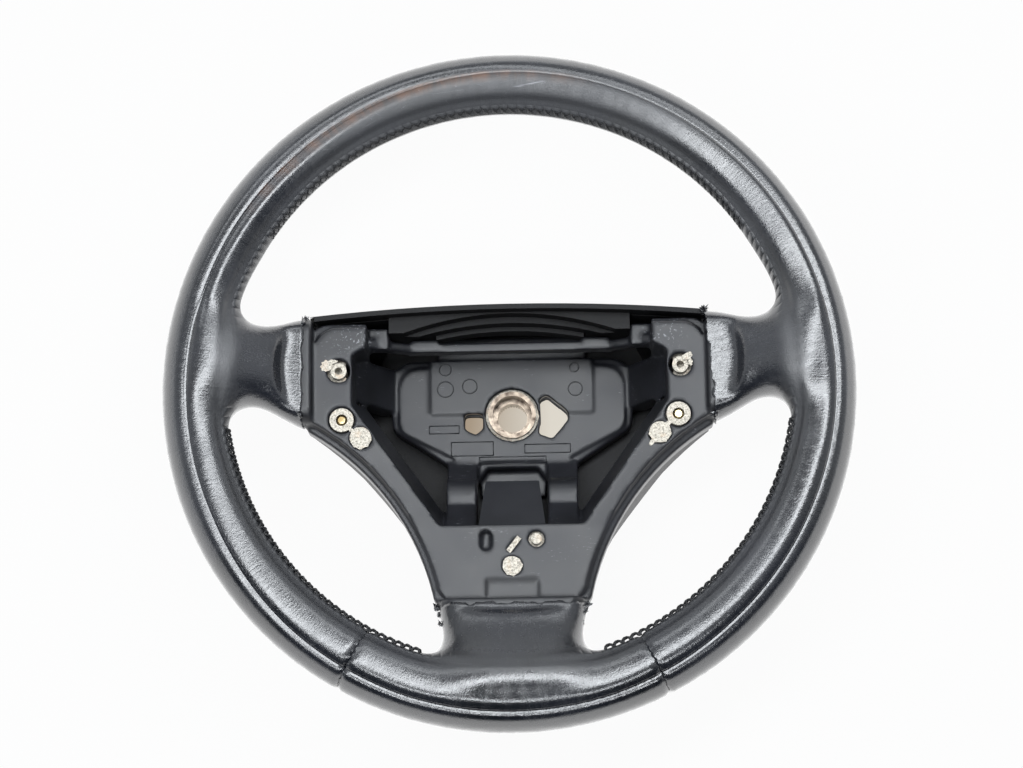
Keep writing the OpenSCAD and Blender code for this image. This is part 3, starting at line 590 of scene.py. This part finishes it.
def cut_leather(mesh, keep_low):
    """One leather piece: its part of the skin between the joints, open at its raw ends, with thickness."""
    bm = bmesh.new()
    bm.from_mesh(mesh)
    for joint, sign in ((SEAM_LEFT, 1), (SEAM_RIGHT, -1)):
        along = Vector((math.cos(joint), math.sin(joint), 0))
        normal = Vector((-along.y, along.x, 0)) * sign
        geom = bm.verts[:] + bm.edges[:] + bm.faces[:]
        bmesh.ops.bisect_plane(bm, geom=geom, plane_co=(0, 0, 0), plane_no=normal, dist=1e-6)
    cuts = []
    for first, last in RAW_ENDS:
        first, last = Vector((*first, 0)) * MM, Vector((*last, 0)) * MM
        normal = Vector((0, 0, 1)).cross(last - first).normalized()
        if normal.dot(first) < 0:
            normal = -normal
        cuts.append((first, normal))
    for place, normal in cuts:
        reach = [face for face in bm.faces if face.calc_center_median().dot(normal) > 90 * MM]
        verts = list({vert for face in reach for vert in face.verts})
        edges = list({edge for face in reach for edge in face.edges})
        bmesh.ops.bisect_plane(bm, geom=verts + edges + reach, plane_co=place, plane_no=normal, dist=1e-6)
    unwanted = []
    for face in bm.faces:
        middle = face.calc_center_median()
        bearing = math.atan2(middle.y, middle.x) % TAU
        low = SEAM_LEFT < bearing < SEAM_RIGHT
        beyond = [(middle - place).dot(normal) < 0 and middle.dot(normal) > 0.8 * place.dot(normal)
                  for place, normal in cuts]
        if low != keep_low or (middle.xy.length < INSIDE_RIM_R and any(beyond)):
            unwanted.append(face)
    bmesh.ops.delete(bm, geom=unwanted, context="FACES")
    # The ends are raw and uneven, as the knife and the years left them.
    for vert in bm.verts:
        if vert.is_boundary and vert.co.xy.length < INSIDE_RIM_R:
            for place, normal in cuts:
                if abs((vert.co - place).dot(normal)) < 0.5 * MM:
                    along = normal.cross(Vector((0, 0, 1))).dot(vert.co) / MM
                    wave = math.sin(along * 0.35) + math.sin(along * 0.83 + 1) * 0.7
                    vert.co += normal * (0.55 * wave + rng.uniform(-0.5, 0.6)) * MM
    thickness = ("SOLIDIFY", {"thickness": LEATHER_T, "offset": -1.0, "use_rim": True})
    return baked(to_mesh(bm, "leather"), thickness)


def make_leather():
    """The two pieces of hide, which the sewn joints part."""
    form = leather_form()
    shape_rim(form)
    for name, low in (("leather_upper_skin", False), ("leather_lower_skin", True)):
        mesh = cut_leather(form.copy(), low)
        x, y, z = points_of(mesh).T
        radius = np.hypot(x, y)
        off = crease_offset(np.arctan2(y, x), np.arctan2(z - RIM_Z, radius - RIM_MID_R))
        # The spokes have no crease, so its pattern is kept far off them.
        off = np.where(radius > 154 * MM, off, 9).astype(np.float32)
        mesh.attributes.new("crease_off", "FLOAT", "POINT").data.foreach_set("value", off)
        finish_piece(mesh, name, LEATHER, ("leather_lower" if low else "leather_upper",))


make_leather()


# The torn corners of the raw ends: each one's place and the length of its fibres, in millimetres.
TORN_CORNERS = (
    (-114.4, 45.2, 75.5, 2.8), (-114.2, 45.0, 72.5, 2.2), (109.9, 47.2, 73, 3.8), (109.5, 46.2, 70, 3.2),
    (-115.8, -12.7, 74, 3.0), (114.5, -13.8, 77, 3.6), (-42.2, -119.4, 72, 3.2), (41.0, -118.8, 74, 3.6),
    (-40.6, -123.2, 72, 2.0), (39.6, -123.3, 76, 2.2), (-39.7, -128.6, 75, 1.5), (38.2, -129.5, 76, 1.7),
)
FIBRES_PER_CORNER = 26


def make_frays():
    """Torn fibres at the corners of the raw ends, where the knife stopped."""
    bm = bmesh.new()
    for x, y, z, reach in TORN_CORNERS:
        inward = Vector((x, y, 0)).normalized() * -0.5
        sideways = Vector((0, math.copysign(0.5, y), 0))
        for i in range(FIBRES_PER_CORNER):
            shred = i % 3 == 0
            lean = Vector((rng.gauss(0, 1), rng.gauss(0, 1), rng.gauss(0.2, 0.8))).normalized()
            lean = (lean + inward + sideways).normalized()
            high = reach * rng.uniform(0.4, 1.1) * MM
            # Every third is a flat shred of hide, and the others are single fibres.
            wide = rng.uniform(0.8, 1.5) if shred else rng.uniform(0.2, 0.5)
            cone = bmesh.ops.create_cone(bm, cap_ends=True, segments=6, radius1=wide * MM,
                                         radius2=0.06 * MM, depth=high)["verts"]
            if shred:
                bmesh.ops.scale(bm, vec=(1, 0.3, 1), verts=cone)
            spot = Vector((x + rng.uniform(-1, 1), y + rng.uniform(-1.2, 1.2), z + rng.uniform(-2, 2))) * MM
            turn = lean.to_track_quat("Z", "Y").to_matrix().to_4x4()
            bmesh.ops.transform(bm, matrix=Matrix.Translation(spot + lean * high * 0.4) @ turn, verts=cone)
    finish_piece(to_mesh(bm, "torn_fibres"), "torn_fibres", LEATHER, smooth=False)


make_frays()


# Stitching

def inner_radius(bearing):
    """The rim's inner radius over the leather, at a bearing."""
    return RIM_OUTER_R - (RIM_THICK - RIM_SWELL * math.sin(bearing)) * MM


def stitch_run(name, node_name, start, end):
    """Cross stitches over the leather's joint round the inside of the rim, one at each pitch."""
    bm = bmesh.new()
    thread_r, seam_lean, cross_lean = 0.72 * MM, 0.2, 0.22
    lift, sunk_end, top_thread = 0.3 * MM, -0.9 * MM, 0.4 * MM
    count = round((end - start) * RIM_INNER_R / STITCH_PITCH)
    for i in range(count):
        for crossing in (-1, 1):
            path = []
            for t in (-1, -0.72, -0.3, 0.3, 0.72, 1):
                bearing = start + (i + 0.5 + 0.46 * t) * (end - start) / count
                inner = inner_radius(bearing)
                half = (RIM_OUTER_R - inner) / 2
                lean = seam_lean + crossing * t * cross_lean
                # Both ends dive into the hide, and where two threads cross one lies on the other.
                reach = half + (lift if abs(t) < 0.9 else sunk_end)
                if crossing > 0 and abs(t) < 0.5:
                    reach += top_thread
                radius = inner + half - reach * math.cos(lean)
                path.append(Vector((radius * math.cos(bearing), radius * math.sin(bearing),
                                    RIM_Z + reach * math.sin(lean))))
            loops = []
            for k, place in enumerate(path):
                along = (path[min(k + 1, 5)] - path[max(k - 1, 0)]).normalized()
                ring = bmesh.ops.create_circle(bm, segments=6, radius=thread_r)["verts"]
                turn = along.to_track_quat("Z", "Y").to_matrix().to_4x4()
                bmesh.ops.transform(bm, matrix=Matrix.Translation(place) @ turn, verts=ring)
                loops.append(list({edge for vert in ring for edge in vert.link_edges}))
            for one, other in zip(loops, loops[1:]):
                bmesh.ops.bridge_loops(bm, edges=one + other)
            bmesh.ops.edgeloop_fill(bm, edges=loops[0])
            bmesh.ops.edgeloop_fill(bm, edges=loops[-1])
    bmesh.ops.recalc_face_normals(bm, faces=bm.faces)
    finish_piece(to_mesh(bm, name), name, THREAD, (node_name,))


# Each run of stitches with the bearings of its ends, in degrees.
STITCH_RUNS = (("top", 33.75, 146.25), ("left", 187.5, 240), ("right", 296.25, 352.5),
               ("lower_left", 240, 251.25), ("lower_right", 288.75, 296.25))
for run_name, *run_ends in STITCH_RUNS:
    stitch_run("stitches_" + run_name, "seam_thread_" + run_name, *map(math.radians, run_ends))


# Foam hub

def make_foam():
    """The moulded foam round the casting, with the soft edges of a real moulding.

    The hub is the CAD foam within a block round the hub, remeshed. The rim's foam, which the hide
    covers, is a plain ring.
    """
    block_size, block_middle = (0.236, 0.19, 0.2), (0, -0.028, 0.08)
    rim_foam_r = 15 * MM
    bm = bmesh.new()
    bm.from_mesh(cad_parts["foam_body"].data)
    bmesh.ops.remove_doubles(bm, verts=bm.verts, dist=1e-6)
    mesh = to_mesh(bm, "foam")
    bm = bmesh.new()
    bmesh.ops.create_cube(bm, size=1)
    bmesh.ops.scale(bm, vec=block_size, verts=bm.verts)
    bmesh.ops.translate(bm, vec=block_middle, verts=bm.verts)
    cutter = new_object("cutter", to_mesh(bm, "block"))
    # A coarser grid would lose the thin skin of foam under the oval recess in the panel.
    mesh = baked(mesh, ("BOOLEAN", {"operation": "INTERSECT", "object": cutter, "solver": "EXACT"}),
                 ("REMESH", {"mode": "VOXEL", "voxel_size": 1.15 * MM}), ("DECIMATE", {"ratio": 0.8}))
    bpy.data.objects.remove(cutter)
    relax(mesh, np.ones(len(mesh.vertices)), 2)
    finish_piece(mesh, "foam_hub", FOAM, ("foam_body",))

    bm = bmesh.new()
    spun_ring(bm, (0, 0, RIM_Z), RIM_MID_R, rim_foam_r, steps=128, sides=20)
    bmesh.ops.recalc_face_normals(bm, faces=bm.faces)
    finish_piece(to_mesh(bm, "foam_rim_core"), "foam_rim_core", FOAM)


make_foam()


# Bare metal and moulded marks

FLAKE_T = 1.2 * MM


def ragged_patch(bm, x, y, z, radius, seed, stretch, turn):
    """A thin flake of bare casting with a torn outline, let into the foam's face."""
    draw = random.Random(seed)
    waves = [(draw.uniform(0.02, 0.075), draw.randint(2, 9), draw.uniform(0, TAU)) for _ in range(6)]
    disc = bmesh.ops.create_circle(bm, cap_ends=True, segments=56, radius=1)["verts"]
    face = disc[0].link_faces[0]
    for vert in disc:
        angle = math.atan2(vert.co.y, vert.co.x)
        reach = 1 + sum(high * math.sin(count * angle + phase) for high, count, phase in waves)
        reach += draw.uniform(-0.03, 0.03)
        spot = Matrix.Rotation(turn, 2) @ Vector((math.cos(angle) * stretch[0], math.sin(angle) * stretch[1]))
        vert.co = (x * MM + spot.x * reach * radius * MM, y * MM + spot.y * reach * radius * MM, z * MM)
    pushed = bmesh.ops.extrude_face_region(bm, geom=[face])["geom"]
    lower = [part for part in pushed if isinstance(part, bmesh.types.BMVert)]
    bmesh.ops.translate(bm, verts=lower, vec=(0, 0, -FLAKE_T))


# The flakes of bare casting by the boss they lie on: place and radius in millimetres, the random
# seed of the outline, its stretch along and across, and its turn in radians.
BARE_FLAKES = {
    "pad_left": ((-83.4, -24.0, 78.18, 6.0, 1, (1.0, 0.97), 0),
                 (-88.2, -19.6, 78.12, 2.0, 5, (1.9, 0.5), 2.3)),
    "pad_right": ((83.4, -24.0, 78.18, 5.9, 2, (1.0, 0.95), 0),
                  (88.0, -19.2, 78.12, 2.2, 6, (1.8, 0.65), 0.8),
                  (79.2, -29.0, 78.05, 1.9, 7, (1.7, 0.6), 0.9)),
    "pin_left": ((-102.2, 17.6, 78.15, 2.6, 3, (1.25, 1.2), 0.4),
                 (-98.8, 20.0, 78.1, 1.6, 9, (1.8, 0.7), 0.1)),
    "pin_right": ((99.6, 19.2, 78.15, 2.4, 4, (1.3, 0.8), 0.5),
                  (101.2, 16.0, 78.1, 1.5, 10, (0.8, 1.5), 0.2)),
    "pad_low": ((0.0, -97.0, 74.18, 5.3, 8, (1.0, 1.0), 0),),
}


def make_patches():
    """Bare metal on the five bosses, where the foam has come off."""
    for name, flakes in BARE_FLAKES.items():
        bm = bmesh.new()
        for flake in flakes:
            ragged_patch(bm, *flake)
        bmesh.ops.recalc_face_normals(bm, faces=bm.faces)
        name = "bare_" + name
        finish_piece(to_mesh(bm, name), name, CAST, smooth=False)


# The hub plate's raised rings (middle and radius) and blank fields (middle and size), in millimetres.
PLATE_RINGS = ((-38, 27, 3.4), (-38, 15.5, 4.6), (-24, 17, 4.2), (36, 27, 2.6), (36.5, 14.5, 4.0))
PLATE_FIELDS = ((-39, -8, 17, 4.5), (-23, -19.5, 24, 8), (20, -20, 26, 5), (0, -26.5, 38, 4))
RING_SECTION_R = 0.35
RING_Z = 23.05
FIELD_Z = 22.1
FIELD_LINE = 0.5


def make_marks():
    """Plain raised rings and blank fields on the hub plate, as a mould leaves them."""
    bm = bmesh.new()
    for x, y, radius in PLATE_RINGS:
        spun_ring(bm, Vector((x, y, RING_Z)) * MM, radius * MM, RING_SECTION_R * MM, steps=32, sides=8)
    for x, y, wide, high in PLATE_FIELDS:
        level_bar, upright_bar = (wide, FIELD_LINE, FIELD_LINE), (FIELD_LINE, high, FIELD_LINE)
        for side in (-0.5, 0.5):
            for size, middle in ((level_bar, (x, y + side * high)), (upright_bar, (x + side * wide, y))):
                bar = bmesh.ops.create_cube(bm, size=1)["verts"]
                bmesh.ops.scale(bm, vec=Vector(size) * MM, verts=bar)
                bmesh.ops.translate(bm, vec=Vector((*middle, FIELD_Z)) * MM, verts=bar)
    bmesh.ops.recalc_face_normals(bm, faces=bm.faces)
    finish_piece(to_mesh(bm, "plate_marks"), "plate_marks", FOAM)


make_patches()
make_marks()


# Finishes of the CAD nodes

FINISHES = {
    "armature": CAST,
    "hub_insert": INSERT_STEEL,
    "airbag_bolt_left": BOLT_STEEL,
    "airbag_bolt_right": BOLT_STEEL,
    "bolt_retainer_left": RETAINER_PLASTIC,
    "bolt_retainer_right": RETAINER_PLASTIC,
    "harness_cover": FLAP_PLASTIC,
    "rear_cover": COVER_PLASTIC,
    "rear_cover_screws": BOLT_STEEL,
}
for node_name, finish in FINISHES.items():
    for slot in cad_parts[node_name].material_slots:
        slot.material = finish


# Floor and light

def make_floor():
    """A white table that the camera and the reflections see as lit paper."""
    floor_r = 14
    bm = bmesh.new()
    bmesh.ops.create_circle(bm, cap_ends=True, segments=64, radius=floor_r)
    mesh = to_mesh(bm, "floor")
    material, tree, place = new_material("white_table")
    tree.nodes.remove(tree.nodes["Principled BSDF"])
    rays = add(tree, "LightPath").node.outputs
    mirrored = add(tree, "Math", (rays["Is Glossy Ray"], rays["Is Transmission Ray"]), operation="MAXIMUM")
    seen = add(tree, "Math", (rays["Is Camera Ray"], mirrored), operation="MAXIMUM")
    seen = add(tree, "Math", (seen, 0.98), operation="MULTIPLY")
    glow = add(tree, "Math", (mirrored, 1.2, 0.97), operation="MULTIPLY_ADD")

    # Painted shade and painted reflected light: the paper under the hub is tinted grey-beige, standing in for
    # the hub's shade and the warm light off the bare casting.
    level = add(tree, "VectorMath", (place, (1, 1, 0)), operation="MULTIPLY")
    away = add(tree, "VectorMath", (level,), "Value", operation="LENGTH")
    under = add(tree, "ValToRGB", (away,), stops=((0.034, 1.0), (0.040, 0.0)))
    x, _, _ = add(tree, "SeparateXYZ", (place,)).node.outputs
    across = add(tree, "Math", (x, 10, 0.5), operation="MULTIPLY_ADD")
    painted_shade_tint = add(tree, "ValToRGB", (across,), stops=((0.25, "#aa9a86"), (0.72, "#e0dace")))
    paper = add(tree, "Mix", {0: under, 6: linear("#ffffff"), 7: painted_shade_tint}, 2, data_type="RGBA")
    lit = add(tree, "Emission", (paper, glow))
    board = add(tree, "BsdfDiffuse", (linear("#f3f3f3"),))
    mixed = add(tree, "MixShader", (seen, board, lit))
    tree.links.new(mixed, tree.nodes["Material Output"].inputs["Surface"])
    mesh.materials.append(material)
    floor = new_object("floor", mesh)


# The strip lamps: name, place, width and depth in metres, and watts.
STRIP_LAMPS = (("overhead", (-0.05, 0.08, 1.1), (1.7, 0.28), 19),
               ("behind", (-0.05, 0.85, 1.0), (1.7, 0.30), 6),
               ("front", (0.0, -0.66, 1.1), (1.2, 0.07), 7))


def make_light():
    """A room that is bright at the back and along its horizon, with three strip lamps across it."""
    world = bpy.data.worlds.new("room")
    bpy.context.scene.world = world
    world.use_nodes = True
    tree = world.node_tree
    toward = add(tree, "TexCoord", output="Generated")
    _, back, up = add(tree, "SeparateXYZ", (toward,)).node.outputs
    across = add(tree, "Math", (back, 0.5, 0.5), operation="MULTIPLY_ADD")
    sky = add(tree, "ValToRGB", (across,),
              stops=((0.26, 0.0), (0.38, 0.10), (0.46, 0.7), (0.52, 1.0), (0.70, 0.75)))
    dimmer_overhead = add(tree, "Math", (up, -1.2, 2.2), operation="MULTIPLY_ADD")
    horizon = add(tree, "ValToRGB", (up,), stops=((0.04, 1.0), (0.22, 0.0)))
    from_back = add(tree, "ValToRGB", (across,), stops=((0.10, 0.3), (0.45, 1.0)))
    brightness = 0.0
    for glow, mask, strength in ((sky, dimmer_overhead, 0.55), (horizon, from_back, 2.0)):
        for factor in (mask, strength):
            glow = add(tree, "Math", (glow, factor), operation="MULTIPLY")
        brightness = add(tree, "Math", (brightness, glow), operation="MAXIMUM")
    background = tree.nodes["Background"].inputs
    background["Color"].default_value = linear(COOL_WHITE)
    tree.links.new(brightness, background["Strength"])
    for name, place, (wide, deep), watts in STRIP_LAMPS:
        data = bpy.data.lights.new(name, "AREA")
        data.shape = "RECTANGLE"
        data.size, data.size_y = wide, deep
        data.energy = watts
        data.color = linear(COOL_WHITE)[:3]
        aim = Vector(place) - Vector((0, 0, RIM_Z))
        turn = aim.to_track_quat("Z", "Y").to_matrix().to_4x4()
        new_object(name, data).matrix_world = Matrix.Translation(place) @ turn


make_floor()
make_light()
